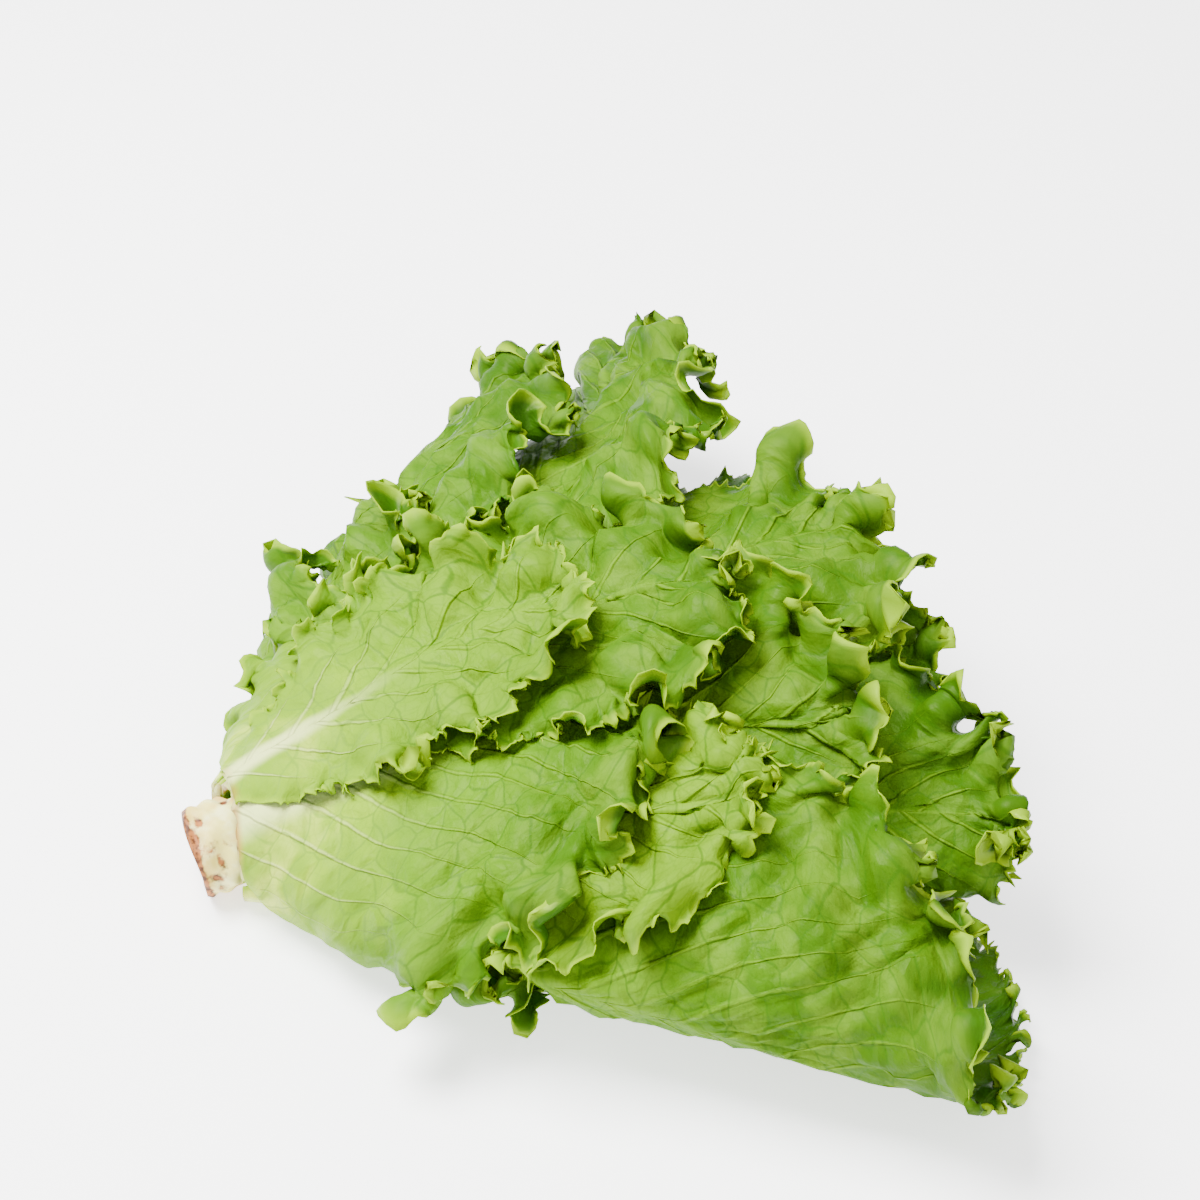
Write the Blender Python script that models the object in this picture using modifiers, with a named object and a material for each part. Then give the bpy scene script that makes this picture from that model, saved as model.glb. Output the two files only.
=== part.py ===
"""A head of green leaf lettuce, cut off at its stump and lying on its side.

Every leaf is a solid of its own, set on the stump and packed over the leaves inside it. The head fans out
from the stump towards +X, and its leaves are nested shells round one axis, flat below where they lie on the
table and domed above. Metres, +Z up, table at z = 0, origin under the middle of the head.
"""

import math

import bmesh
import bpy
import numpy as np
from mathutils import Matrix, Vector

MM = 0.001

# The head as a whole
HEAD_AZIMUTH = math.radians(18)   # way the head's axis points on the table, from +X towards +Y
FAN_APEX = 60 * MM                # the fan's rays meet this far behind the lowest leaf
FAN_LOW = 0.30                    # radians from the axis to the side of the fan, at the stump
FAN_HIGH = 0.76                   # and past where it has opened
FAN_OPEN = 85 * MM
MIDDLE_LOW = 19 * MM              # height of the axis at the stump
MIDDLE_RISE = 27 * MM             # what it gains to the tips
MIDDLE_REACH = 260 * MM
CROWN_LOW = 36 * MM               # height of the outermost shell at the stump
CROWN_RISE = 62 * MM              # what the dome adds to that at its highest
CROWN_REACH = 205 * MM            # reach at which the dome is highest
FLOOR_LOW = 2.5 * MM              # height of the outermost shell on the table side, at the stump
FLOOR_FALL = 6 * MM               # what it drops to the tips, so that the leaves inside it lie level
TABLE = 1.0 * MM                  # height of the table, in the same measure
ROUND_ABOVE = 2.0                 # superellipse exponents of the section above and below the axis
ROUND_BELOW = 3.0

# The stump
STUMP_PROFILE = (                 # (reach, radius) in mm, from the growing tip to the cut face
    (36.0, 0.0), (32.0, 4.4), (20.0, 9.0), (10.0, 13.2), (0.0, 15.6), (-8.0, 16.4), (-14.5, 16.0),
    (-16.0, 15.0), (-16.0, 11.0), (-15.4, 6.0), (-15.6, 0.0),
)
LEAFY_RINGS = 5                   # the rings of the profile that leaves grow on
STUMP_SIDES = 36

# What every leaf has in common
BLADE_THICK = 0.8 * MM
RIB_THICK = 2.0 * MM
LEAF_GAP = 0.8 * MM
BASE_WIDTH = (6 * MM, 16 * MM)    # of the innermost and of the outermost leaf
TIP_ROUND = 0.5                   # exponent that rounds a leaf's tip
COLUMNS = 56                      # round the margin, from one side of the base over the tip to the other
ROWS = (0.0, 0.3, 0.68, 1.0)      # out from the midrib to the margin
WAVE = 9 * MM                     # half height of the large waves of the margin
CRIMP = 1.6 * MM                  # half height of the small waves, one to every two columns
TOOTH = 0.02                      # how far the teeth stand out, as a share of the half width
PRESSED = 0.15                    # what is left of a leaf's waves where another leaf or the table covers it

# name, turn round the axis at the base in degrees (0 is the far side, 90 up, 180 the near side), shell,
# length and width in mm, how far out it is broadest, outward curl of the tip in mm, number of waves,
# turn gained towards the tip in degrees
LEAVES = (
    ("heart_leaf_1", 250, 0.14, 165, 84, 1.3, 0, 9, 0),
    ("heart_leaf_2", 92, 0.22, 185, 100, 1.3, 0, 9, 0),
    ("inner_leaf_1", 335, 0.34, 205, 130, 1.3, 2, 12, 0),
    ("inner_leaf_2", 108, 0.40, 230, 134, 1.3, 4, 12, 0),
    ("inner_leaf_3", 50, 0.48, 226, 136, 1.3, 4, 12, 6),
    ("inner_leaf_4", 148, 0.52, 250, 150, 1.3, 6, 13, 4),
    ("middle_leaf_1", 80, 0.58, 234, 140, 1.3, 8, 13, 2),
    ("middle_leaf_2", 228, 0.66, 240, 150, 1.3, 0, 13, 0),
    ("middle_leaf_3", 118, 0.70, 208, 144, 1.3, 10, 13, 0),
    ("outer_leaf_1", 276, 0.83, 225, 150, 1.0, 0, 13, 0),
    ("outer_leaf_2", 163, 0.82, 266, 184, 1.3, 14, 14, 60),
    ("outer_leaf_3", 58, 0.80, 272, 140, 1.2, 10, 14, -46),
    ("outer_leaf_4", 24, 0.90, 218, 130, 1.2, 12, 13, -12),
    ("outer_leaf_5", 14, 0.92, 132, 100, 1.0, 6, 12, 0),
    ("outer_leaf_6", 350, 0.94, 100, 80, 0.9, 10, 11, 0),
    ("outer_leaf_7", 218, 0.88, 112, 80, 0.9, 2, 11, 0),
    ("outer_leaf_8", 136, 0.86, 176, 86, 1.2, 10, 11, -10),
    ("outer_leaf_9", 108, 0.88, 146, 172, 0.6, 8, 14, 0),
    ("outer_leaf_10", 82, 0.88, 176, 100, 1.2, 8, 13, 12),
    ("outer_leaf_11", 84, 0.94, 128, 72, 0.9, 8, 11, 4),
)

# The heap that the leaves are packed in: its outer surface as a shell number over reach and turn
HEAP_REACH_STEP = 2 * MM
HEAP_REACHES = 160
HEAP_TURNS = 270
PACKING_ROUNDS = 16
SAMPLES = 8                       # test points along each side of a blade's face
SOFTENING = 4                     # times that the edges of a cover are smoothed

# The grid of every leaf: share of the way round the margin, closer at the base, and of the way out to it
NARROW_SHARES = (0.89, 0.92, 0.95, 0.975, 1)
SHARES = np.concatenate((np.linspace(0, 0.86, COLUMNS // 2 + 1 - len(NARROW_SHARES)), NARROW_SHARES))
SHARE = np.concatenate((-SHARES[:0:-1], SHARES))[:, None]
OUT = np.array(ROWS)[None, :]
TEETH = np.where(np.arange(COLUMNS + 1) % 2 == 0, 1, -1)[:, None] * (OUT > 0.99)

# The flat spots that the head lies on
FLAT_CUT = 0.15 * MM


def smooth(low, high, value):
    """0 below low, 1 above high, and a smooth step between."""
    t = np.clip((value - low) / (high - low), 0, 1)
    return t * t * (3 - 2 * t)


def middle_height(reach):
    """Height of the head's axis over the table: a quarter sine, so that it leaves the stump at a slope."""
    return MIDDLE_LOW + MIDDLE_RISE * np.sin(math.pi / 2 * reach / MIDDLE_REACH)


def crown_height(reach):
    """Height of the outermost shell on top of the head: a quarter sine that droops past its top."""
    return CROWN_LOW + CROWN_RISE * np.sin(math.pi / 2 * reach / CROWN_REACH)


def floor_height(reach):
    """Height of the outermost shell on the table side."""
    return FLOOR_LOW - FLOOR_FALL * np.sin(math.pi / 2 * reach / MIDDLE_REACH)


def half_heights(reach, above):
    """Distance from the axis to the outermost shell, upwards or down to the table."""
    middle = middle_height(reach)
    return np.where(above, crown_height(reach) - middle, middle - floor_height(reach))


def fan_angle(reach):
    """Angle on the table from the axis to the side of the outermost shell."""
    return FAN_LOW + (FAN_HIGH - FAN_LOW) * smooth(-0.3 * FAN_OPEN, FAN_OPEN, reach)


def to_space(reach, turn, shell):
    """A point of the head, from its reach along the fan, its turn round the axis and its shell number."""
    across, up = np.cos(turn), np.sin(turn)
    power = np.where(up > 0, ROUND_ABOVE, ROUND_BELOW)
    size = shell * (abs(across) ** power + abs(up) ** power) ** (-1 / power)
    heading = HEAD_AZIMUTH + fan_angle(reach) * size * across
    ray = reach + FAN_APEX
    height = middle_height(reach) + size * up * half_heights(reach, up > 0)
    return np.stack((
        ray * np.cos(heading) - FAN_APEX * math.cos(HEAD_AZIMUTH),
        ray * np.sin(heading) - FAN_APEX * math.sin(HEAD_AZIMUTH),
        height,
    ), axis=-1)


def from_space(points):
    """The reach, turn and shell number of points, which is to_space backwards."""
    x = points[..., 0] + FAN_APEX * math.cos(HEAD_AZIMUTH)
    y = points[..., 1] + FAN_APEX * math.sin(HEAD_AZIMUTH)
    reach = np.hypot(x, y) - FAN_APEX
    across = (np.arctan2(y, x) - HEAD_AZIMUTH) / fan_angle(reach)
    rise = points[..., 2] - middle_height(reach)
    up = rise / half_heights(reach, rise > 0)
    power = np.where(up > 0, ROUND_ABOVE, ROUND_BELOW)
    shell = (abs(across) ** power + abs(up) ** power) ** (1 / power)
    return reach, np.arctan2(up, across), shell


def shell_spacing(reach, turn, shell):
    """Metres from one shell to the next whole one, at a place on it."""
    step = 0.01
    return np.linalg.norm(to_space(reach, turn, shell + step) - to_space(reach, turn, shell), axis=-1) / step


def go_round(reach, turn, shell, distance, steps=14):
    """The turn reached by walking a distance round a shell."""
    step = 0.01
    for _ in range(steps):
        ahead = to_space(reach, turn + step, shell) - to_space(reach, turn - step, shell)
        turn = turn + distance / steps * 2 * step / np.linalg.norm(ahead, axis=-1)
    return turn


def margin(length, width, base, spoon, around):
    """Half outline of a flat leaf: around is 0 at the tip and 1 at the base, and spoon moves the widest place."""
    far = np.cos(math.pi / 2 * around) ** 2
    widest = spoon / (spoon + TIP_ROUND)
    broad = (far / widest) ** spoon * ((1 - far) / (1 - widest)) ** TIP_ROUND
    return width / 2 * broad + base / 2 * around ** 3, length * far


def flat_leaf(length, width, base, spoon):
    """Flat leaf: lines of equal share are side veins, which leave the midrib and sweep forward to the margin."""
    around = np.linspace(0, 1, 300)
    x, y = margin(length, width, base, spoon, around)
    run = np.concatenate(([0], np.cumsum(np.hypot(np.diff(x), np.diff(y)))))
    around = np.interp(abs(SHARE), run / run[-1], around)
    x_edge, y_edge = margin(length, width, base, spoon, around)
    y_rib = 0.9 * length * (1 - around) ** 1.6
    return np.sign(SHARE) * x_edge * OUT ** 1.15, y_rib + (y_edge - y_rib) * OUT ** 0.7


def stump_radius(reach):
    """Radius of the stump where leaves grow on it."""
    along, radius = zip(*reversed(STUMP_PROFILE[:LEAFY_RINGS]))
    return np.interp(reach / MM, along, radius) * MM


def base_reach(shell):
    """Reach at which a shell meets the stump."""
    reach = np.linspace(0, STUMP_PROFILE[0][0] * MM, 200)
    away = (reach + FAN_APEX) * np.sin(fan_angle(reach) * shell) - stump_radius(reach) - LEAF_GAP
    return float(np.interp(0, away, reach))


def leaf_places(leaf):
    """Reach and turn of a leaf's points, with its margin cut into teeth, and how free of the base they are."""
    _, turn, shell, length, width, spoon, _, _, bend = leaf
    length, width = length * MM, width * MM
    base = BASE_WIDTH[0] + (BASE_WIDTH[1] - BASE_WIDTH[0]) * shell
    x, y = flat_leaf(length, width, base, spoon)
    free = smooth(0.12, 0.4, y / length)
    x = x * (1 + TOOTH * TEETH * free)
    y = y * (1 + 0.5 * TOOTH * TEETH * free)
    reach = base_reach(shell) + y
    centre = math.radians(turn) + math.radians(bend) * (y / length) ** 2 + 0 * x
    return reach, go_round(reach, centre, shell, x), free


def leaf_lift(leaf, draw, free, openness):
    """How far a leaf's points stand out from its shell: waves that grow to the margin, flat where covered."""
    curl, waves = leaf[6:8]
    phase, drift = draw.uniform(0, 2 * math.pi, 2)
    wave = np.sin(math.pi * waves * SHARE + phase + 0.8 * np.sin(2.7 * SHARE + drift))
    lift = WAVE * (0.3 + wave) * smooth(0.25, 1, OUT) ** 1.2 + CRIMP * TEETH
    return (lift * free + curl * MM * free ** 3) * openness


def leaf_thickness():
    """Thickness of a leaf: a midrib that tapers to the tip, thinning out sideways to the blade."""
    rib = (RIB_THICK - BLADE_THICK) * (0.25 + 0.75 * abs(SHARE)) * np.clip(1 - OUT / ROWS[1], 0, 1)
    return BLADE_THICK + rib


def leaf_faces():
    """Corners and triangles of a leaf's grid. The first row is the midrib, which both halves share."""
    def corner(i, j):
        return (min(i, COLUMNS - i), 0) if j == 0 else (i, j)

    index = {}
    for j in range(len(ROWS)):
        for i in range(COLUMNS + 1):
            index.setdefault(corner(i, j), len(index))
    faces = []
    for j in range(len(ROWS) - 1):
        for i in range(COLUMNS):
            a, b = index[corner(i, j)], index[corner(i + 1, j)]
            c, d = index[corner(i + 1, j + 1)], index[corner(i, j + 1)]
            faces += [(a, b, c), (a, c, d)] if i < COLUMNS // 2 else [(a, b, d), (b, c, d)]
    return list(index), faces


def between(grid):
    """Points spread evenly over every cell of a grid of points."""
    t = (np.arange(SAMPLES) + 0.5) / SAMPLES
    a, b = t[:, None, None], t[None, :, None]
    near, far = grid[:-1, :-1, None, None], grid[1:, :-1, None, None]
    near_out, far_out = grid[:-1, 1:, None, None], grid[1:, 1:, None, None]
    return (near * (1 - a) + far * a) * (1 - b) + (near_out * (1 - a) + far_out * a) * b


def lift_corners(need):
    """Lift of a grid's corners that meets the need of every test point between them."""
    t = (np.arange(SAMPLES) + 0.5) / SAMPLES
    lift = np.zeros((need.shape[0] + 1, need.shape[1] + 1))
    for i, along in enumerate((1 - t, t)):
        for j, outward in enumerate((1 - t, t)):
            weight = np.minimum(2 * np.outer(along, outward), 1)
            part = lift[i:i + need.shape[0], j:j + need.shape[1]]
            np.maximum(part, (need * weight).max(axis=(2, 3)), out=part)
    lift[:, 0] = np.maximum(lift[:, 0], lift[::-1, 0])
    return lift


def grid_normals(points):
    """Unit normals of a grid of points, away from the head's axis."""
    normal = np.cross(np.gradient(points, axis=0), np.gradient(points, axis=1))
    normal /= np.linalg.norm(normal, axis=-1, keepdims=True) + 1e-12
    return normal


def heap_cells(points):
    """Heap cell of each point, and where the point is."""
    reach, turn, shell = from_space(points)
    row = np.clip((reach / HEAP_REACH_STEP).astype(int), 0, HEAP_REACHES - 1)
    column = np.floor(turn / (2 * math.pi) * HEAP_TURNS).astype(int) % HEAP_TURNS
    return row, column, reach, turn, shell


def widen(heap):
    """The heap with every cell raised to the highest of its neighbours."""
    ends = np.pad(heap, ((1, 1), (0, 0)), mode="edge")
    tall = np.maximum(np.maximum(ends[:-2], ends[2:]), heap)
    return np.maximum(np.maximum(np.roll(tall, 1, 1), np.roll(tall, -1, 1)), tall)


def soften(cover):
    """The cover with soft edges: each cell's mean over its neighbours, taken again and again."""
    for _ in range(SOFTENING):
        ends = np.pad(cover, ((1, 1), (0, 0)), mode="edge")
        cover = (ends[:-2] + ends[2:] + 2 * cover) / 4
        cover = (np.roll(cover, 1, 1) + np.roll(cover, -1, 1) + 2 * cover) / 4
    return cover


def footprint(points):
    """Heap of one thing by itself: the shell number of its points, and 0 where it is not."""
    row, column, _, _, shell = heap_cells(points)
    taken = np.zeros((HEAP_REACHES, HEAP_TURNS))
    np.maximum.at(taken, (row.ravel(), column.ravel()), shell.ravel())
    return widen(taken)


def table_cover():
    """Cover given by the table, which presses the underside of the head flat."""
    turns = (np.arange(HEAP_TURNS) + 0.5) / HEAP_TURNS * 2 * math.pi
    return np.tile(1 - smooth(-0.7, -0.3, np.sin(turns)), (HEAP_REACHES, 1))


def covers():
    """For each leaf, how much each cell is covered by the table or by leaves outside it."""
    cover = table_cover()
    covers_inwards = []
    for leaf in reversed(LEAVES):
        covers_inwards.append(soften(cover))
        reach, turn, _ = leaf_places(leaf)
        cover = np.maximum(cover, footprint(between(to_space(reach, turn, leaf[2]))) > 0)
    return covers_inwards[::-1]


def stump_axis():
    """Foot and direction of the stump's axis."""
    foot = Vector(to_space(0.0, 0.0, 0.0))
    return foot, (Vector(to_space(MM, 0.0, 0.0)) - foot).normalized()


def stump_footprint():
    """Heap of the stump by itself."""
    foot, axis = stump_axis()
    side = axis.cross(Vector((0, 0, 1))).normalized()
    up = np.array(side.cross(axis))
    reach = np.linspace(0, STUMP_PROFILE[0][0] * MM, 200)[:, None, None]
    around = np.linspace(0, 2 * math.pi, 720)[None, :, None]
    across = np.cos(around) * np.array(side) + np.sin(around) * up
    return footprint(np.array(foot) + reach * np.array(axis) + stump_radius(reach) * across)


def pack_leaf(heap, cover, leaf, draw):
    """Inner face of a leaf as a grid of points, lifted clear of the heap inside it, which then takes it in.

    What is lower than the table is pressed flat on it, which takes up less than the gap between leaves.
    """
    reach, turn, free = leaf_places(leaf)
    row, column, _, _, _ = heap_cells(to_space(reach, turn, leaf[2]))
    lift = leaf_lift(leaf, draw, free, 1 - (1 - PRESSED) * cover[row, column])
    shell = leaf[2] + lift / shell_spacing(reach, turn, leaf[2])
    for _ in range(PACKING_ROUNDS):
        row, column, at, round_, own = heap_cells(between(to_space(reach, turn, shell)))
        need = heap[row, column] + LEAF_GAP / shell_spacing(at, round_, own) - own
        shell = shell + lift_corners(np.maximum(need, 0))
    points = to_space(reach, turn, shell)
    outer = points + grid_normals(points) * leaf_thickness()[..., None]
    np.maximum(heap, footprint(between(outer)), out=heap)
    points[..., 2] += np.maximum(TABLE - outer[..., 2], 0)
    return points


def plain_material(name, colour, roughness):
    """A material of one colour and roughness."""
    material = bpy.data.materials.new(name)
    material.use_nodes = True
    shader = material.node_tree.nodes["Principled BSDF"]
    shader.inputs["Base Color"].default_value = (*colour, 1)
    shader.inputs["Roughness"].default_value = roughness
    material.diffuse_color = (*colour, 1)
    return material


def leaf_object(name, points, material):
    """A leaf as a solid: its inner face with Solidify, thickest at the midrib."""
    corners, faces = leaf_faces()
    mesh = bpy.data.meshes.new(name)
    mesh.from_pydata([points[i, j].tolist() for i, j in corners], [], faces)
    mesh.materials.append(material)
    leaf = bpy.data.objects.new(name, mesh)
    group = leaf.vertex_groups.new(name="thickness")
    thick = leaf_thickness() / RIB_THICK
    for n, (i, j) in enumerate(corners):
        group.add([n], float(thick[i, j]), "REPLACE")
    wall = leaf.modifiers.new("wall", "SOLIDIFY")
    wall.thickness = RIB_THICK
    wall.offset = 1
    wall.vertex_group = group.name
    wall.use_even_offset = False
    return leaf


def stump_object(material):
    """The stump: its profile turned round the head's axis, from the growing tip down to the cut face."""
    mesh = bpy.data.meshes.new("stump")
    profile = [(radius * MM, 0, along * MM) for along, radius in STUMP_PROFILE]
    mesh.from_pydata(profile, [(n, n + 1) for n in range(len(profile) - 1)], [])
    mesh.materials.append(material)
    stump = bpy.data.objects.new("stump", mesh)
    turned = stump.modifiers.new("turned", "SCREW")
    turned.steps = turned.render_steps = STUMP_SIDES
    turned.use_merge_vertices = True
    turned.merge_threshold = 0.0001
    turned.use_smooth_shade = True
    foot, axis = stump_axis()
    stump.location = foot
    stump.rotation_euler = axis.to_track_quat("Z", "Y").to_euler()
    return stump


def bounds(objects):
    """Lowest and highest corners of objects as modelled."""
    depsgraph = bpy.context.evaluated_depsgraph_get()
    corners = [obj.matrix_world @ v.co for obj in objects for v in obj.evaluated_get(depsgraph).data.vertices]
    corners = np.array(corners)
    return corners.min(axis=0), corners.max(axis=0)


def lay_on_table(objects):
    """Moves the head so that the origin is under its middle and what lies on the table dips just under it."""
    bpy.context.view_layer.update()
    low, high = bounds(objects)
    shift = Vector((-(low[0] + high[0]) / 2, -(low[1] + high[1]) / 2, -TABLE - FLAT_CUT))
    for obj in objects:
        obj.location += shift
    bpy.context.view_layer.update()


def cut_flat_spots(objects, cutters):
    """Cuts what dips under the table off flat, which leaves the spots that the head lies on."""
    box = bmesh.new()
    bmesh.ops.create_cube(box, size=1, matrix=Matrix.Translation((0, 0, -0.5)))
    mesh = bpy.data.meshes.new("table_cutter")
    box.to_mesh(mesh)
    box.free()
    cutter = bpy.data.objects.new("table_cutter", mesh)
    cutter.hide_render = True
    cutter.display_type = "WIRE"
    cutters.objects.link(cutter)
    for obj in objects:
        if bounds([obj])[0][2] < 0:
            cut = obj.modifiers.new("flat_spot", "BOOLEAN")
            cut.operation = "DIFFERENCE"
            cut.object = cutter


def main():
    for obj in list(bpy.data.objects):
        bpy.data.objects.remove(obj)
    head = bpy.data.collections.new("green_leaf_lettuce")
    cutters = bpy.data.collections.new("cutters")
    bpy.context.scene.collection.children.link(head)
    bpy.context.scene.collection.children.link(cutters)
    green = plain_material("leaf_green", (0.20, 0.45, 0.06), 0.5)
    pale = plain_material("heart_leaf_pale_green", (0.40, 0.62, 0.14), 0.5)
    cream = plain_material("stump_cream", (0.80, 0.83, 0.58), 0.6)
    draw = np.random.default_rng(7)
    heap = stump_footprint()
    head.objects.link(stump_object(cream))
    for leaf, cover in zip(LEAVES, covers()):
        material = pale if leaf[0].startswith("heart") else green
        head.objects.link(leaf_object(leaf[0], pack_leaf(heap, cover, leaf, draw), material))
    lay_on_table(list(head.objects))
    cut_flat_spots(list(head.objects), cutters)


main()
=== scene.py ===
"""Looks of a head of green leaf lettuce that lies on its side, from its cut stump out to its frilled leaves.

Metres, +Z up. The solids of the part are the frame. Each leaf is worked out again from the rule that made its
solid, then frilled, veined and coloured, and stands in the place of that solid.
"""
import math

import bpy
import numpy as np
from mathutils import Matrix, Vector


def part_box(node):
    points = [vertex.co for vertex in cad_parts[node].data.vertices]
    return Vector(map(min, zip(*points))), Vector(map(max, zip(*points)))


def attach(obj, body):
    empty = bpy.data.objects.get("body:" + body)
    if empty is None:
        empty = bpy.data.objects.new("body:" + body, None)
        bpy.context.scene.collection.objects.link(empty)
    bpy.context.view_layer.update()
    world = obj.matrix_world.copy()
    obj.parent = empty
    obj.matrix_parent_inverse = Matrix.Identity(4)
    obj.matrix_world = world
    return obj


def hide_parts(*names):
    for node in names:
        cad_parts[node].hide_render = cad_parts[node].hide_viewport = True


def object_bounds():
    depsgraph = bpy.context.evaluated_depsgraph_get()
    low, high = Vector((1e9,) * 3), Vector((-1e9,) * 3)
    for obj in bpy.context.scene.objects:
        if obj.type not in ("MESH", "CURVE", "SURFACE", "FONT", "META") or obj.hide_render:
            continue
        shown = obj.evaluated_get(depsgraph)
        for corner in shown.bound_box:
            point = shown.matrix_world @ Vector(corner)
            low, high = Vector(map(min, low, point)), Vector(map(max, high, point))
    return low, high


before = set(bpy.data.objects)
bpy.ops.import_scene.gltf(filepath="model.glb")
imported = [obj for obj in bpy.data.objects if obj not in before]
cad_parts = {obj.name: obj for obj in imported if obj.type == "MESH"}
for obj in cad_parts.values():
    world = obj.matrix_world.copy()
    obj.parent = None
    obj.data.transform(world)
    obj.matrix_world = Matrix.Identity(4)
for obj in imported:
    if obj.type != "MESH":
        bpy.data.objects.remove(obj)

cad_box = [list(corner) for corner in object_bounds()]
MM = 0.001

# The head as a whole
# Its leaves are nested shells round one axis, which fan out from the stump over the table. A place in the
# head is its reach along the fan, its turn round the axis and its shell number, as in the solids' source.
HEAD_AZIMUTH = math.radians(18)
FAN_APEX = 60 * MM
FAN_LOW = 0.30
FAN_HIGH = 0.76
FAN_OPEN = 85 * MM
MIDDLE_LOW = 19 * MM
MIDDLE_RISE = 27 * MM
MIDDLE_REACH = 260 * MM
CROWN_LOW = 36 * MM
CROWN_RISE = 62 * MM
CROWN_REACH = 205 * MM
FLOOR_LOW = 2.5 * MM
FLOOR_FALL = 6 * MM
TABLE = 1.0 * MM
FLAT_CUT = 0.15 * MM
ROUND_ABOVE = 2.0
ROUND_BELOW = 3.0


def smooth(low, high, value):
    """0 below low, 1 above high, and a smooth step between."""
    t = np.clip((value - low) / (high - low), 0, 1)
    return t * t * (3 - 2 * t)


def middle_height(reach):
    """Height of the head's axis: a quarter sine."""
    return MIDDLE_LOW + MIDDLE_RISE * np.sin(math.pi / 2 * reach / MIDDLE_REACH)


def half_heights(reach, above):
    """Distance from the axis to the outermost shell: a quarter sine for the crown and one for the floor."""
    crown = CROWN_LOW + CROWN_RISE * np.sin(math.pi / 2 * reach / CROWN_REACH)
    floor = FLOOR_LOW - FLOOR_FALL * np.sin(math.pi / 2 * reach / MIDDLE_REACH)
    middle = middle_height(reach)
    return np.where(above, crown - middle, middle - floor)


def fan_angle(reach):
    """Angle from the axis to the side of the outermost shell: a smooth step over the first reach."""
    return FAN_LOW + (FAN_HIGH - FAN_LOW) * smooth(-0.3 * FAN_OPEN, FAN_OPEN, reach)


def to_space(reach, turn, shell):
    """A point of the head: a heading that is a share of the fan, and a height from a superellipse."""
    across, up = np.cos(turn), np.sin(turn)
    power = np.where(up > 0, ROUND_ABOVE, ROUND_BELOW)
    size = shell * (abs(across) ** power + abs(up) ** power) ** (-1 / power)
    heading = HEAD_AZIMUTH + fan_angle(reach) * size * across
    ray = reach + FAN_APEX
    height = middle_height(reach) + size * up * half_heights(reach, up > 0)
    return np.stack((
        ray * np.cos(heading) - FAN_APEX * math.cos(HEAD_AZIMUTH),
        ray * np.sin(heading) - FAN_APEX * math.sin(HEAD_AZIMUTH),
        height,
    ), axis=-1)


def from_space(points):
    """The reach, turn and shell number of points, which is to_space backwards."""
    x = points[..., 0] + FAN_APEX * math.cos(HEAD_AZIMUTH)
    y = points[..., 1] + FAN_APEX * math.sin(HEAD_AZIMUTH)
    reach = np.hypot(x, y) - FAN_APEX
    across = (np.arctan2(y, x) - HEAD_AZIMUTH) / fan_angle(reach)
    rise = points[..., 2] - middle_height(reach)
    up = rise / half_heights(reach, rise > 0)
    power = np.where(up > 0, ROUND_ABOVE, ROUND_BELOW)
    shell = (abs(across) ** power + abs(up) ** power) ** (1 / power)
    return reach, np.arctan2(up, across), shell


def mesh_piece(name, points, triangles, attributes, materials, material_index):
    """An object at the origin from arrays of points and triangles, with vector attributes on its points."""
    mesh = bpy.data.meshes.new(name)
    mesh.vertices.add(len(points))
    mesh.vertices.foreach_set("co", np.ascontiguousarray(points, np.float32).ravel())
    mesh.loops.add(triangles.size)
    mesh.loops.foreach_set("vertex_index", np.ascontiguousarray(triangles, np.int32).ravel())
    mesh.polygons.add(len(triangles))
    mesh.polygons.foreach_set("loop_start", np.arange(0, triangles.size, 3, dtype=np.int32))
    for material in materials:
        mesh.materials.append(material)
    mesh.polygons.foreach_set("material_index", np.ascontiguousarray(material_index, np.int32))
    for label, values in attributes.items():
        layer = mesh.attributes.new(label, "FLOAT_VECTOR", "POINT")
        layer.data.foreach_set("vector", np.ascontiguousarray(values, np.float32).ravel())
    mesh.update(calc_edges=True)
    mesh.shade_smooth()
    piece = bpy.data.objects.new(name, mesh)
    bpy.context.scene.collection.objects.link(piece)
    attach(piece, "root")
    return piece


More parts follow.
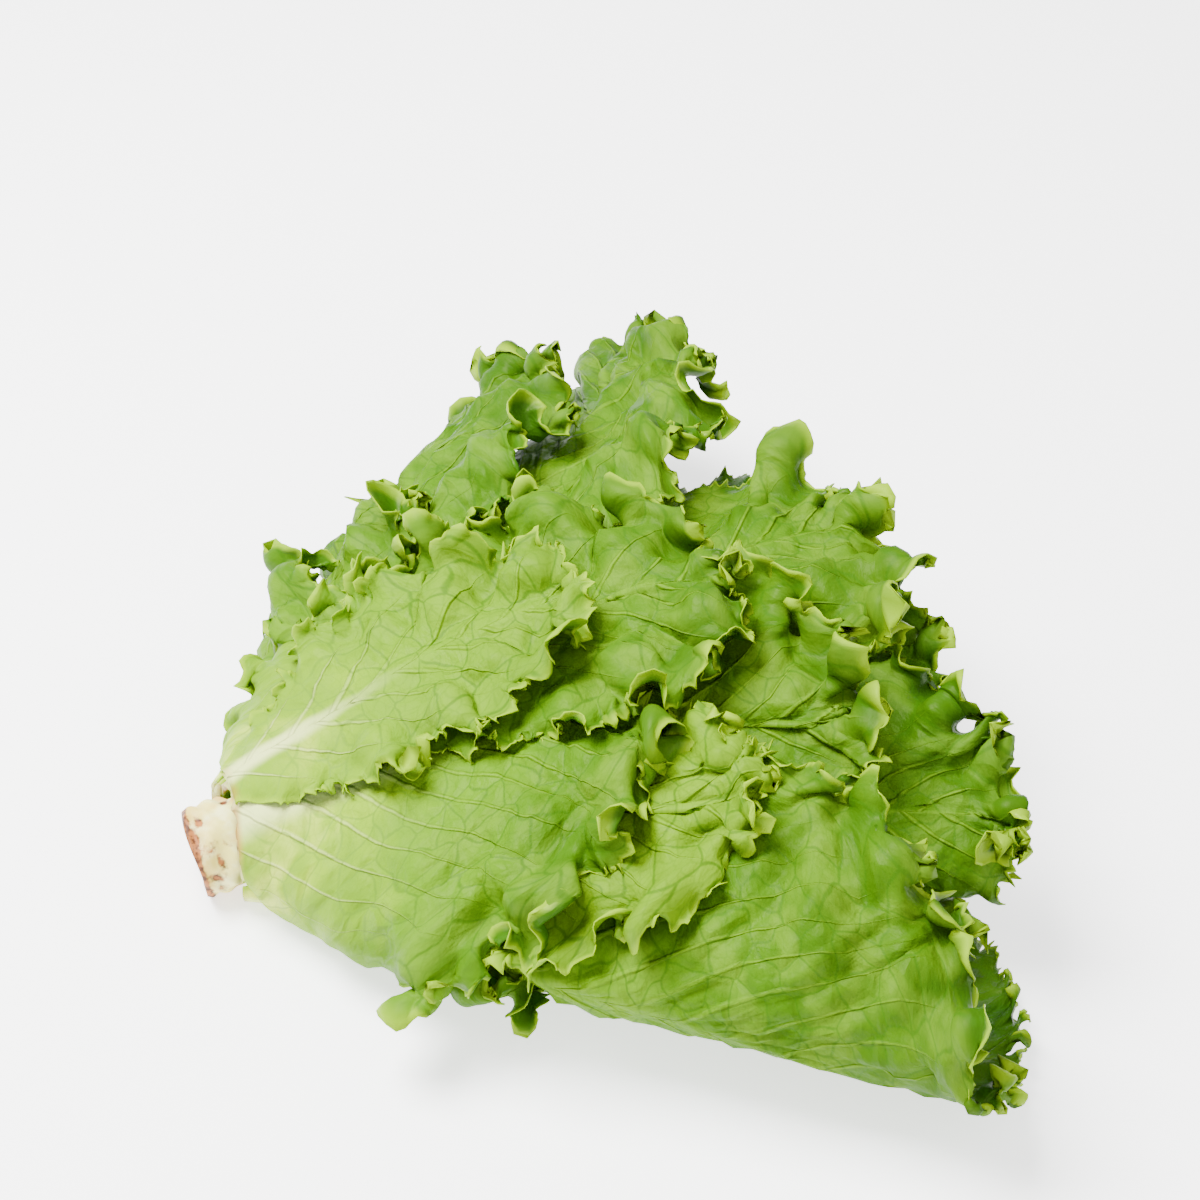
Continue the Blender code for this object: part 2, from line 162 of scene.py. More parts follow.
class Nodes:
    """A material's node tree, with short calls to add nodes and join them."""

    def __init__(self, name):
        self.material = bpy.data.materials.new(name)
        self.material.use_nodes = True
        self.tree = self.material.node_tree
        self.shader = self.tree.nodes["Principled BSDF"]
        self.output = self.tree.nodes["Material Output"]

    def add(self, kind, settings=None, **inputs):
        """Adds a node, sets its settings and its inputs, and returns it."""
        node = self.tree.nodes.new("ShaderNode" + kind)
        for label, value in (settings or {}).items():
            setattr(node, label, value)
        for label, value in inputs.items():
            self.put(node, label.replace("_", " "), value)
        return node

    def put(self, node, socket, value):
        """Joins a socket to another node's output, or sets it."""
        if socket.startswith("n") and socket[1:].isdigit():
            socket = int(socket[1:])
        target = node.inputs[socket]
        if isinstance(value, bpy.types.NodeSocket):
            self.tree.links.new(value, target)
        else:
            target.default_value = value

    def math(self, operation, *values):
        """A Math node's output."""
        node = self.add("Math", {"operation": operation})
        for place, value in enumerate(values):
            self.put(node, f"n{place}", value)
        return node.outputs[0]

    def range(self, value, low, high, to_low=0.0, to_high=1.0):
        """A smooth step of a value, from low to high."""
        node = self.add("MapRange", {"interpolation_type": "SMOOTHSTEP"})
        for place, part in enumerate((value, low, high, to_low, to_high)):
            self.put(node, f"n{place}", part)
        return node.outputs[0]

    def mix(self, share, first, second, blend="MIX"):
        """A mix of two colours."""
        node = self.add("Mix", {"data_type": "RGBA", "blend_type": blend})
        for place, part in ((0, share), (6, first), (7, second)):
            self.put(node, f"n{place}", part)
        return node.outputs[2]

    def ramp(self, value, *stops):
        """A colour ramp with stops of a place and a colour."""
        node = self.add("ValToRGB", n0=value)
        elements = node.color_ramp.elements
        elements.remove(elements[1])
        for number, (place, colour) in enumerate(stops):
            element = elements[0] if number == 0 else elements.new(place)
            element.position = place
            element.color = (*colour, 1)
        return node.outputs[0]

    def noise(self, vector, scale, detail=2.0, roughness=0.5, flat=False):
        """Noise around one half, at a scale in the vector's own units, in space or over a flat sheet."""
        settings = {"noise_dimensions": "2D" if flat else "3D"}
        node = self.add("TexNoise", settings, Vector=vector, Scale=scale, Detail=detail, Roughness=roughness)
        return node.outputs["Fac"]


# The stump
# The short stem that all the leaves grow on: cream flesh, cut across with a knife, whose rim has browned. It
# is a profile turned round the head's axis, roughened by the scars of leaves that were broken off.
STUMP_PROFILE = (
    (36.0, 0.0), (32.0, 4.4), (20.0, 9.0), (10.0, 13.2), (0.0, 15.6), (-8.0, 16.4), (-14.5, 16.0),
    (-16.0, 15.0), (-16.0, 11.0), (-15.4, 6.0), (-15.6, 0.0),
)
LEAFY_RINGS = 5
CAD_SIDES = 36
STUMP_COLUMNS = 144
STUMP_ROWS = 96


def stump_axes():
    """Foot of the stump's axis, and its three directions as the rows of a matrix, the axis last."""
    foot = Vector(to_space(0.0, 0.0, 0.0))
    axis = (Vector(to_space(MM, 0.0, 0.0)) - foot).normalized()
    turned = axis.to_track_quat("Z", "Y").to_matrix()
    return np.array(foot), np.array(turned.transposed())


def turned_surface(along, radius, around):
    """Points of a profile turned round the stump's axis."""
    foot, directions = stump_axes()
    local = np.stack(np.broadcast_arrays(radius * np.cos(around), radius * np.sin(around), along), axis=-1)
    return foot + local @ directions


def head_shift():
    """How far the solids were moved from the head's own measure, from the low corners of the stump."""
    along, radius = np.array(STUMP_PROFILE).T[:, :, None] * MM
    ring = turned_surface(along, radius, np.linspace(0, 2 * math.pi, CAD_SIDES + 1)[None, :])
    low = ring.reshape(-1, 3).min(axis=0)
    return np.array([*(np.array(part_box("stump")[0])[:2] - low[:2]), -TABLE - FLAT_CUT])


SHIFT = head_shift()


def stump_material():
    """Cream flesh, green towards the leaves, browned at the rim of the cut and in streaks down the side."""
    nodes = Nodes("lettuce_stump_flesh")
    place = nodes.add("Attribute", {"attribute_name": "stump_place"})
    parts = nodes.add("SeparateXYZ", n0=place.outputs["Vector"]).outputs
    here = nodes.add("TexCoord").outputs["Object"]
    blotch = nodes.noise(here, 90, 4, 0.6)
    fibre = nodes.noise(here, 420, 3)
    stops = ((0.0, (0.58, 0.38, 0.07)), (0.16, (0.72, 0.63, 0.17)), (0.6, (0.60, 0.72, 0.12)))
    flesh = nodes.ramp(parts[0], *stops)
    flesh = nodes.mix(nodes.range(blotch, 0.45, 0.7, 0.0, 0.6), flesh, (0.80, 0.82, 0.46, 1))
    stain = nodes.range(nodes.noise(here, 60, 3), 0.5, 0.66, 0.0, 0.75)
    flesh = nodes.mix(stain, flesh, (0.52, 0.27, 0.035, 1))
    brown = nodes.mix(nodes.range(fibre, 0.4, 0.6), (0.075, 0.022, 0.006, 1), (0.33, 0.115, 0.025, 1))
    worn = nodes.math("MULTIPLY", nodes.math("SUBTRACT", nodes.noise(here, 130, 4, 0.65), 0.5), 2.2)
    worn = nodes.math("ADD", nodes.math("ADD", parts[1], nodes.math("MULTIPLY", parts[2], 0.9)), worn)
    colour = nodes.mix(nodes.range(worn, 0.18, 0.6), flesh, brown)
    nodes.put(nodes.shader, "Base Color", colour)
    nodes.put(nodes.shader, "Roughness", nodes.range(blotch, 0.3, 0.7, 0.42, 0.62))
    bump = nodes.add("Bump", Strength=0.5, Distance=0.4 * MM, Height=nodes.math("ADD", fibre, blotch))
    nodes.put(nodes.shader, "Normal", bump.outputs[0])
    nodes.shader.inputs["Specular IOR Level"].default_value = 0.25
    return nodes.material


def build_stump():
    """The stump's piece: the profile turned round the axis, its side marked by scars and its foot by the knife.

    The attribute stump_place holds how far along the stump a point is, how near the rim of the cut, and how
    deep in a scar.
    """
    run = np.linspace(0, 1, STUMP_ROWS)
    along, radius = np.array(STUMP_PROFILE).T
    length = np.concatenate(([0], np.cumsum(np.hypot(np.diff(along), np.diff(radius)))))
    along = np.interp(run, length / length[-1], along)[:, None]
    radius = np.interp(run, length / length[-1], radius)[:, None]
    around = np.linspace(0, 2 * math.pi, STUMP_COLUMNS, endpoint=False)[None, :]
    side = smooth(-15.8, -13.5, along) * smooth(34, 26, along)
    scars = 0.5 * np.sin(5 * around + 0.35 * along) + 0.35 * np.sin(8 * around - 0.9 * along + 1)
    scars = scars + 0.3 * np.sin(3 * around + 0.7 * along + 2) - 0.6
    radius = radius + 1.3 * side * scars
    face = 1 - smooth(-15.8, -13.5, along)
    along = along - 0.35 * face * np.cos(3 * around + 0.5) * smooth(2, 12, radius)
    points = turned_surface(along * MM, radius * MM, around) + SHIFT
    points[..., 2] = np.maximum(points[..., 2], 0)
    rows, columns = points.shape[:2]
    index = np.arange(rows * columns).reshape(rows, columns)
    index[0] = index[0, 0]
    index[-1] = index[-1, 0]
    a, b = index[:-1], np.roll(index[:-1], -1, axis=1)
    c, d = np.roll(index[1:], -1, axis=1), index[1:]
    lower = np.stack((a, c, b), axis=-1)[1:].reshape(-1, 3)
    upper = np.stack((a, d, c), axis=-1)[:-1].reshape(-1, 3)
    triangles = np.concatenate((lower, upper))
    edge = np.exp(-((along + 15.5) / 1.6) ** 2) * smooth(8, 14, radius)
    deep = np.maximum(-scars - 0.9, 0) * side
    place = np.stack(np.broadcast_arrays((along + 16) / 52, edge, deep), axis=-1)
    used, triangles = np.unique(triangles, return_inverse=True)
    flat_points, flat_place = points.reshape(-1, 3)[used], place.reshape(-1, 3)[used]
    piece = mesh_piece("stump_flesh", flat_points, triangles.reshape(-1, 3), {"stump_place": flat_place},
                       [stump_material()], np.zeros(len(triangles.reshape(-1, 3))))
    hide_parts("stump")


build_stump()

# The leaves, packed over each other
# Twenty leaves, from the two at the heart to the outer ones. Each lies on a shell, is lifted clear of those
# inside it, and is pressed where others or the table cover it, as the source of the solids packs them.
BLADE_THICK = 0.8 * MM
RIB_THICK = 2.0 * MM
LEAF_GAP = 0.8 * MM
BASE_WIDTH = (6 * MM, 16 * MM)
TIP_ROUND = 0.5
COLUMNS = 56
ROWS = (0.0, 0.3, 0.68, 1.0)
WAVE = 9 * MM
CRIMP = 1.6 * MM
TOOTH = 0.02
PRESSED = 0.15
BLADE_FREE = (0.12, 0.4)          # shares of the length between which a blade comes free of its base
# name, turn in degrees, shell, length and width in mm, how far out it is broadest, curl in mm, number of
# waves, turn gained towards the tip in degrees
LEAVES = (
    ("heart_leaf_1", 250, 0.14, 165, 84, 1.3, 0, 9, 0),
    ("heart_leaf_2", 92, 0.22, 185, 100, 1.3, 0, 9, 0),
    ("inner_leaf_1", 335, 0.34, 205, 130, 1.3, 2, 12, 0),
    ("inner_leaf_2", 108, 0.40, 230, 134, 1.3, 4, 12, 0),
    ("inner_leaf_3", 50, 0.48, 226, 136, 1.3, 4, 12, 6),
    ("inner_leaf_4", 148, 0.52, 250, 150, 1.3, 6, 13, 4),
    ("middle_leaf_1", 80, 0.58, 234, 140, 1.3, 8, 13, 2),
    ("middle_leaf_2", 228, 0.66, 240, 150, 1.3, 0, 13, 0),
    ("middle_leaf_3", 118, 0.70, 208, 144, 1.3, 10, 13, 0),
    ("outer_leaf_1", 276, 0.83, 225, 150, 1.0, 0, 13, 0),
    ("outer_leaf_2", 163, 0.82, 266, 184, 1.3, 14, 14, 60),
    ("outer_leaf_3", 58, 0.80, 272, 140, 1.2, 10, 14, -46),
    ("outer_leaf_4", 24, 0.90, 218, 130, 1.2, 12, 13, -12),
    ("outer_leaf_5", 14, 0.92, 132, 100, 1.0, 6, 12, 0),
    ("outer_leaf_6", 350, 0.94, 100, 80, 0.9, 10, 11, 0),
    ("outer_leaf_7", 218, 0.88, 112, 80, 0.9, 2, 11, 0),
    ("outer_leaf_8", 136, 0.86, 176, 86, 1.2, 10, 11, -10),
    ("outer_leaf_9", 108, 0.88, 146, 172, 0.6, 8, 14, 0),
    ("outer_leaf_10", 82, 0.88, 176, 100, 1.2, 8, 13, 12),
    ("outer_leaf_11", 84, 0.94, 128, 72, 0.9, 8, 11, 4),
)
HEAP_REACH_STEP = 2 * MM
HEAP_REACHES = 160
HEAP_TURNS = 270
PACKING_ROUNDS = 16
SAMPLES = 8
SOFTENING = 4
NARROW_SHARES = (0.89, 0.92, 0.95, 0.975, 1)
SHARES = np.concatenate((np.linspace(0, 0.86, COLUMNS // 2 + 1 - len(NARROW_SHARES)), NARROW_SHARES))
SHARE = np.concatenate((-SHARES[:0:-1], SHARES))[:, None]
OUT = np.array(ROWS)[None, :]
TEETH = np.where(np.arange(COLUMNS + 1) % 2 == 0, 1, -1)[:, None] * (OUT > 0.99)


def shell_spacing(reach, turn, shell):
    """Metres from one shell to the next whole one, at a place on it."""
    step = 0.01
    return np.linalg.norm(to_space(reach, turn, shell + step) - to_space(reach, turn, shell), axis=-1) / step


def go_round(reach, turn, shell, distance, steps=14):
    """The turn reached by walking a distance round a shell, in short steps."""
    step = 0.01
    for _ in range(steps):
        ahead = to_space(reach, turn + step, shell) - to_space(reach, turn - step, shell)
        turn = turn + distance / steps * 2 * step / np.linalg.norm(ahead, axis=-1)
    return turn


def margin(length, width, base, spoon, around):
    """Half outline of a flat leaf: powers of the distance from its base and from its tip, plus the base."""
    far = np.cos(math.pi / 2 * around) ** 2
    widest = spoon / (spoon + TIP_ROUND)
    broad = (far / widest) ** spoon * ((1 - far) / (1 - widest)) ** TIP_ROUND
    return width / 2 * broad + base / 2 * around ** 3, length * far


def flat_leaf(length, width, base, spoon, share, out):
    """Flat leaf over share and out, and its margin: its rows sweep from the midrib forward to the margin."""
    around = np.linspace(0, 1, 300)
    x, y = margin(length, width, base, spoon, around)
    run = np.concatenate(([0], np.cumsum(np.hypot(np.diff(x), np.diff(y)))))
    around = np.interp(abs(share), run / run[-1], around)
    x_edge, y_edge = margin(length, width, base, spoon, around)
    y_rib = 0.9 * length * (1 - around) ** 1.6
    x = np.sign(share) * x_edge * out ** 1.15
    y = y_rib + (y_edge - y_rib) * out ** 0.7
    return x, y, np.sign(share) * x_edge, y_edge, run[-1]


def stump_radius(reach):
    """Radius of the stump where leaves grow on it."""
    along, radius = zip(*reversed(STUMP_PROFILE[:LEAFY_RINGS]))
    return np.interp(reach / MM, along, radius) * MM


def base_reach(shell):
    """Reach at which a shell meets the stump."""
    reach = np.linspace(0, STUMP_PROFILE[0][0] * MM, 200)
    away = (reach + FAN_APEX) * np.sin(fan_angle(reach) * shell) - stump_radius(reach) - LEAF_GAP
    return float(np.interp(0, away, reach))


def leaf_base(shell):
    """Width of a leaf's base, which grows with its shell."""
    return BASE_WIDTH[0] + (BASE_WIDTH[1] - BASE_WIDTH[0]) * shell


def leaf_places(leaf):
    """Reach and turn of the points of a leaf's solid, and how free of the base they are."""
    _, turn, shell, length, width, spoon, _, _, bend = leaf
    length, width = length * MM, width * MM
    x, y, _, _, _ = flat_leaf(length, width, leaf_base(shell), spoon, SHARE, OUT)
    free = smooth(*BLADE_FREE, y / length)
    x = x * (1 + TOOTH * TEETH * free)
    y = y * (1 + 0.5 * TOOTH * TEETH * free)
    reach = base_reach(shell) + y
    centre = math.radians(turn) + math.radians(bend) * (y / length) ** 2 + 0 * x
    return reach, go_round(reach, centre, shell, x), free


def leaf_thickness():
    """Thickness of a leaf's solid: a midrib that tapers to the tip, thinning out sideways."""
    rib = (RIB_THICK - BLADE_THICK) * (0.25 + 0.75 * abs(SHARE)) * np.clip(1 - OUT / ROWS[1], 0, 1)
    return BLADE_THICK + rib


def between(grid):
    """Points spread evenly over every cell of a grid of points, by bilinear mixing."""
    t = (np.arange(SAMPLES) + 0.5) / SAMPLES
    a, b = t[:, None, None], t[None, :, None]
    near, far = grid[:-1, :-1, None, None], grid[1:, :-1, None, None]
    near_out, far_out = grid[:-1, 1:, None, None], grid[1:, 1:, None, None]
    return (near * (1 - a) + far * a) * (1 - b) + (near_out * (1 - a) + far_out * a) * b


def lift_corners(need):
    """Lift of a grid's corners that meets the need of every test point between them."""
    t = (np.arange(SAMPLES) + 0.5) / SAMPLES
    lift = np.zeros((need.shape[0] + 1, need.shape[1] + 1))
    for i, along in enumerate((1 - t, t)):
        for j, outward in enumerate((1 - t, t)):
            weight = np.minimum(2 * np.outer(along, outward), 1)
            part = lift[i:i + need.shape[0], j:j + need.shape[1]]
            np.maximum(part, (need * weight).max(axis=(2, 3)), out=part)
    lift[:, 0] = np.maximum(lift[:, 0], lift[::-1, 0])
    return lift


def grid_normals(points):
    """Unit normals of a grid of points, away from the head's axis: the cross product of its two gradients."""
    normal = np.cross(np.gradient(points, axis=0), np.gradient(points, axis=1))
    normal /= np.linalg.norm(normal, axis=-1, keepdims=True) + 1e-12
    return normal


def heap_cells(points):
    """Heap cell of each point, and where the point is."""
    reach, turn, shell = from_space(points)
    row = np.clip((reach / HEAP_REACH_STEP).astype(int), 0, HEAP_REACHES - 1)
    column = np.floor(turn / (2 * math.pi) * HEAP_TURNS).astype(int) % HEAP_TURNS
    return row, column, reach, turn, shell


def footprint(points):
    """Heap of one thing by itself: the shell number of its points and their neighbours, and 0 elsewhere."""
    row, column, _, _, shell = heap_cells(points)
    taken = np.zeros((HEAP_REACHES, HEAP_TURNS))
    np.maximum.at(taken, (row.ravel(), column.ravel()), shell.ravel())
    ends = np.pad(taken, ((1, 1), (0, 0)), mode="edge")
    tall = np.maximum(np.maximum(ends[:-2], ends[2:]), taken)
    return np.maximum(np.maximum(np.roll(tall, 1, 1), np.roll(tall, -1, 1)), tall)


def soften(cover):
    """The cover with soft edges: each cell's mean over its neighbours, taken again and again."""
    for _ in range(SOFTENING):
        ends = np.pad(cover, ((1, 1), (0, 0)), mode="edge")
        cover = (ends[:-2] + ends[2:] + 2 * cover) / 4
        cover = (np.roll(cover, 1, 1) + np.roll(cover, -1, 1) + 2 * cover) / 4
    return cover


def covers():
    """For each leaf, how much each cell is covered by the table or by leaves outside it."""
    turns = (np.arange(HEAP_TURNS) + 0.5) / HEAP_TURNS * 2 * math.pi
    cover = np.tile(1 - smooth(-0.7, -0.3, np.sin(turns)), (HEAP_REACHES, 1))
    covers_inwards = []
    for leaf in reversed(LEAVES):
        covers_inwards.append(soften(cover))
        reach, turn, _ = leaf_places(leaf)
        cover = np.maximum(cover, footprint(between(to_space(reach, turn, leaf[2]))) > 0)
    return covers_inwards[::-1]


def stump_footprint():
    """Heap of the stump by itself."""
    reach = np.linspace(0, STUMP_PROFILE[0][0] * MM, 200)[:, None]
    around = np.linspace(0, 2 * math.pi, 720)[None, :]
    return footprint(turned_surface(reach, stump_radius(reach), around))


def pack_leaf(heap, cover, leaf, draw):
    """Shell numbers of a leaf's solid without its smallest waves, lifted clear of the heap, which it joins."""
    reach, turn, free = leaf_places(leaf)
    curl, waves = leaf[6:8]
    phase, drift = draw.uniform(0, 2 * math.pi, 2)
    wave = np.sin(math.pi * waves * SHARE + phase + 0.8 * np.sin(2.7 * SHARE + drift))
    row, column, _, _, _ = heap_cells(to_space(reach, turn, leaf[2]))
    openness = 1 - (1 - PRESSED) * cover[row, column]
    spacing = shell_spacing(reach, turn, leaf[2])
    crimp = CRIMP * TEETH * free * openness / spacing
    lift = (WAVE * (0.3 + wave) * smooth(0.25, 1, OUT) ** 1.2 * free + curl * MM * free ** 3) * openness
    shell = leaf[2] + lift / spacing + crimp
    for _ in range(PACKING_ROUNDS):
        row, column, at, round_, own = heap_cells(between(to_space(reach, turn, shell)))
        need = heap[row, column] + LEAF_GAP / shell_spacing(at, round_, own) - own
        shell = shell + lift_corners(np.maximum(need, 0))
    points = to_space(reach, turn, shell)
    outer = points + grid_normals(points) * leaf_thickness()[..., None]
    np.maximum(heap, footprint(between(outer)), out=heap)
    return shell - crimp


# A leaf's fine blade
# A thin blade of leaf tissue that grew on a thick pale midrib: a smooth surface through the points of the
# solid, puckered between its veins. Its margin is frilled in two sizes of wave and cut into lobes and teeth.
COLUMN_SPACING = 0.62 * MM
FINE_ROWS = (
    (0.0, 4), (0.035, 4), (0.08, 4), (0.15, 4), (0.24, 4), (0.34, 4), (0.44, 2), (0.53, 2), (0.61, 2),
    (0.68, 1), (0.74, 1), (0.79, 1), (0.835, 1), (0.87, 1), (0.90, 1), (0.925, 1), (0.947, 1), (0.965, 1),
    (0.98, 1), (0.991, 1), (1.0, 1),
)   # how far out the row is, and how many columns apart its points are
FRILL_WIDTH = 130 * MM            # leaves narrower than this have a shallower frill
# length of a wave, depth of the frill, radians its troughs and crests turn outward, and how far they fold
FRILLS = (
    (15 * MM, 20 * MM, (-0.85, 1.0), 2.0 * MM),
    (7 * MM, 8 * MM, (-0.8, 0.8), 0.8 * MM),
)
LOBE_LENGTHS = (24 * MM, 9 * MM)
LOBE_DEPTHS = (5.5 * MM, 4 * MM)
TEETH_LENGTH = 3.3 * MM
TEETH_DEPTH = 4.6 * MM
TEETH_CURL = 0.8 * MM
FINE_THICK = (0.55 * MM, 0.35 * MM)
MIDRIB_THICK = 1.9 * MM
PUCKER = 1.5 * MM
PUCKER_LENGTH = 13 * MM
CRUMPLE = 5 * MM
CRUMPLE_LENGTH = 28 * MM
SIDE_VEIN_SPACING = 15 * MM
SIDE_VEIN_SWEEP = 1.5             # how far forward a side vein runs for its way outward
SIDE_VEIN_RISE = 1.0 * MM
VEIN_WANDER = 70 * MM
BASE_FREE = (0.05, 0.26)          # shares of the length between which the margin gets its frill
TIP_ROOM = 6 * MM                 # room for the frill at the sides of the solids' box
PATTERN_STEP = 23                 # centimetres between two leaves in the patterns of the material
LONGEST_REACH = 270 * MM
# how yellow a leaf is painted, where it isn't halfway between the deepest green and the yellowest
# above one half this is partly the leaf's own tone and partly painted light; below one half it is painted
# shade, as on the inner leaves that lie in the hollows of the head
LEAF_TONE_AND_PAINTED_LIGHT = {
    "inner_leaf_1": 0.1, "inner_leaf_2": 0.2, "inner_leaf_3": 0.1, "inner_leaf_4": 0.25,
    "middle_leaf_2": 0.75, "outer_leaf_4": 0.3, "outer_leaf_8": 1.0, "outer_leaf_11": 0.85,
}
INNER_FRILL = 1.05                # how much deeper the frill of the inner leaves is
FOOT_HEIGHT = 14 * MM             # below this height the table holds a margin flat
FOOT_DEPTH = 22 * MM
FOOT_SPREAD = 0.5                 # how far a margin that meets the table spreads out on it
FRILL_PRESSED = 0.2               # how much of its frill a covered leaf keeps


def through(values, at):
    """Smooth curve through rows of values at fractional row numbers (Catmull-Rom)."""
    first = np.clip(np.floor(at).astype(int), 1, len(values) - 3)
    t = (at - first).reshape(-1, *[1] * (values.ndim - 1))
    p0, p1, p2, p3 = (values[first + k] for k in (-1, 0, 1, 2))
    return 0.5 * (2 * p1 + (p2 - p0) * t + (2 * p0 - 5 * p1 + 4 * p2 - p3) * t ** 2
                  + (3 * p1 - p0 - 3 * p2 + p3) * t ** 3)


def fine_shell(shell, share, out):
    """The solid's shell numbers at every fine point: smooth curves through its rows, then its columns."""
    mirrored = shell[::-1, 1:2]
    past = 2 * shell[:, -1:] - shell[:, -2:-1]
    rows = np.concatenate((mirrored, shell, past), axis=1).T
    rows = through(rows, 1 + np.interp(out, ROWS, np.arange(len(ROWS)))).T
    ends = np.concatenate((2 * rows[:1] - rows[1:2], rows, 2 * rows[-1:] - rows[-2:-1]))
    return through(ends, 1 + np.interp(share, SHARE[:, 0], np.arange(COLUMNS + 1)))


def wander(at, draw):
    """A smooth random curve between about -1 and 1: a sum of three sines with drawn phases."""
    total = 0
    for number, rate in enumerate((0.9, 2.1, 4.3)):
        total = total + np.sin(2 * math.pi * rate * at + draw.uniform(0, 7)) / (1 + number)
    return total / 1.6


def read_cover(cover, reach, turn):
    """How much a place is covered, mixed between the four nearest cells."""
    row = np.clip(reach / HEAP_REACH_STEP - 0.5, 0, HEAP_REACHES - 1.001)
    column = turn / (2 * math.pi) * HEAP_TURNS - 0.5
    i, j = np.floor(row).astype(int), np.floor(column).astype(int)
    a, b = row - i, column - j
    low, high = j % HEAP_TURNS, (j + 1) % HEAP_TURNS
    near = cover[i, low] * (1 - b) + cover[i, high] * b
    return near * (1 - a) + (cover[i + 1, low] * (1 - b) + cover[i + 1, high] * b) * a


def directions(points):
    """Along the margin, outward and normal to the surface, as three unit vectors at every point."""
    along = np.gradient(points, axis=0)
    along /= np.linalg.norm(along, axis=-1, keepdims=True) + 1e-12
    normal = grid_normals(points)
    return along, np.cross(normal, along), normal


def puckers(x, y, size, draw):
    """A random quilted height between about -1 and 1: sines over the flat leaf in ten drawn directions."""
    total = 0
    for angle in draw.uniform(0, math.pi, 10):
        rate = 2 * math.pi / size * draw.uniform(0.75, 1.5)
        total = total + np.sin(rate * (x * math.cos(angle) + y * math.sin(angle)) + draw.uniform(0, 7))
    return total / 4


def curled(points, frill, arc, away, size, strength, sway):
    """The blade with one size of frill: its rim bends along arcs of circles, and its crests fold sideways."""
    length, depth, bends, fold = frill
    depth = depth * size
    along, outward, normal = directions(points)
    phase = 2 * math.pi * arc / length + sway
    crest = 0.5 + 0.5 * np.sin(phase + 1.2 * away / depth)
    run_in = np.maximum(depth - away, 0)
    bend = strength * (bends[0] + (bends[1] - bends[0]) * crest) * run_in / depth
    bend = np.where(abs(bend) < 1e-4, 1e-4, bend)
    rise = run_in * (1 - np.cos(bend)) / bend
    pull = run_in * (np.sin(bend) / bend - 1)
    slide = fold * strength * np.sin(2 * phase) * (run_in / depth) ** 1.3
    return points + rise[..., None] * normal + pull[..., None] * outward - slide[..., None] * along


def pointed(at):
    """A row of points between 0 and 1, one to each whole number."""
    return 1 - abs(2 * (at % 1) - 1)


def frilled(points, share, away, run, size, free, openness, draw):
    """The frilled blade: deep folds, then curls, lobes and teeth, each set on the surface made before it."""
    loose = free * openness
    arc = share * run
    for number, frill in enumerate(FRILLS):
        strength = loose * (1 + 0.35 * wander(share * (3 + 3 * number), draw))
        sway = 0.8 * wander(share * (2 + 2 * number), draw)
        points = curled(points, frill, arc, away, size, strength, sway)
    _, outward, normal = directions(points)
    cut = 0 * away
    for lobe_length, lobe_depth in zip(LOBE_LENGTHS, LOBE_DEPTHS):
        lobe = pointed(arc / lobe_length + 0.2 * wander(share * 3, draw)) ** 0.8
        deep = lobe_depth * (0.7 + 0.6 * wander(share * 4, draw))
        cut = cut + deep * (lobe - 0.85) * (1 - smooth(0, 2 * lobe_depth, away))
    tooth = arc / TEETH_LENGTH + 0.12 * wander(share * 6, draw)
    number = np.floor(tooth).astype(int)
    tall = draw.uniform(0.3, 1.3, number.max() - number.min() + 1)[number - number.min()]
    rim = 1 - smooth(0, 3.5 * MM, away)
    cut = cut + TEETH_DEPTH * (tall * pointed(tooth) ** 1.4 - 0.4) * rim
    back = (1.0 * MM + TEETH_CURL * np.sin(2 * math.pi * arc / (3 * TEETH_LENGTH))) * rim ** 2
    return points + free[..., None] * cut[..., None] * outward + (loose * back)[..., None] * normal


def hold_in(points, room):
    """Points kept inside the box of the solids less some room, eased in over the last few millimetres."""
    low, high = np.array(cad_box[0]) - SHIFT, np.array(cad_box[1]) - SHIFT
    soft = 4 * MM + 0.6 * room
    low, high = low + 0.7 * MM + room, high - 0.7 * MM - room
    under = low + soft - points
    points = np.where(under > 0, low + soft * np.exp(-np.maximum(under, 0) / soft), points)
    over = points - (high - soft)
    return np.where(over > 0, high - soft * np.exp(-np.maximum(over, 0) / soft), points)


def leaf_triangles(columns):
    """Point numbers over the fine grid and its triangles: rows near the midrib have fewer columns."""
    steps = [step for _, step in FINE_ROWS]
    index = np.full((columns + 1, len(steps)), -1)
    count = 0
    for j, step in enumerate(steps):
        kept = np.arange(0, (columns // 2 if j == 0 else columns) + 1, step)
        index[kept, j] = count + np.arange(len(kept))
        count += len(kept)
    index[:, 0] = np.maximum(index[:, 0], index[::-1, 0])
    triangles = []
    for j, (a, b) in enumerate(zip(steps[:-1], steps[1:])):
        i = np.arange(0, columns, a)
        near, far = index[i, j], index[i + a, j]
        near_out, far_out = index[i, j + 1], index[i + a, j + 1]
        if a == b:
            triangles += [(near, far, far_out), (near, far_out, near_out)]
        else:
            half = index[i + b, j + 1]
            triangles += [(near, half, near_out), (near, far, half), (far, far_out, half)]
    return index, np.concatenate([np.stack(part, axis=-1) for part in triangles])


def closed_leaf(inner, outer, index, triangles):
    """Both faces of a leaf and the rim between them, as points and triangles, with the outer face's count."""
    count = index.max() + 1
    chosen = index >= 0
    where = np.zeros((count, 2), int)
    i, j = np.nonzero(chosen)
    where[index[i, j]] = np.stack((i, j), axis=-1)
    flat_inner, flat_outer = inner[where[:, 0], where[:, 1]], outer[where[:, 0], where[:, 1]]
    edge = np.concatenate((index[0], index[1:, -1], index[-1, -2::-1]))
    a, b = edge[:-1], edge[1:]
    rim = np.concatenate((np.stack((a, b, b + count), -1), np.stack((a, b + count, a + count), -1)))
    faces = np.concatenate((triangles + count, triangles[:, ::-1], rim[:, ::-1]))
    return np.concatenate((flat_inner, flat_outer)), faces, where, len(triangles)


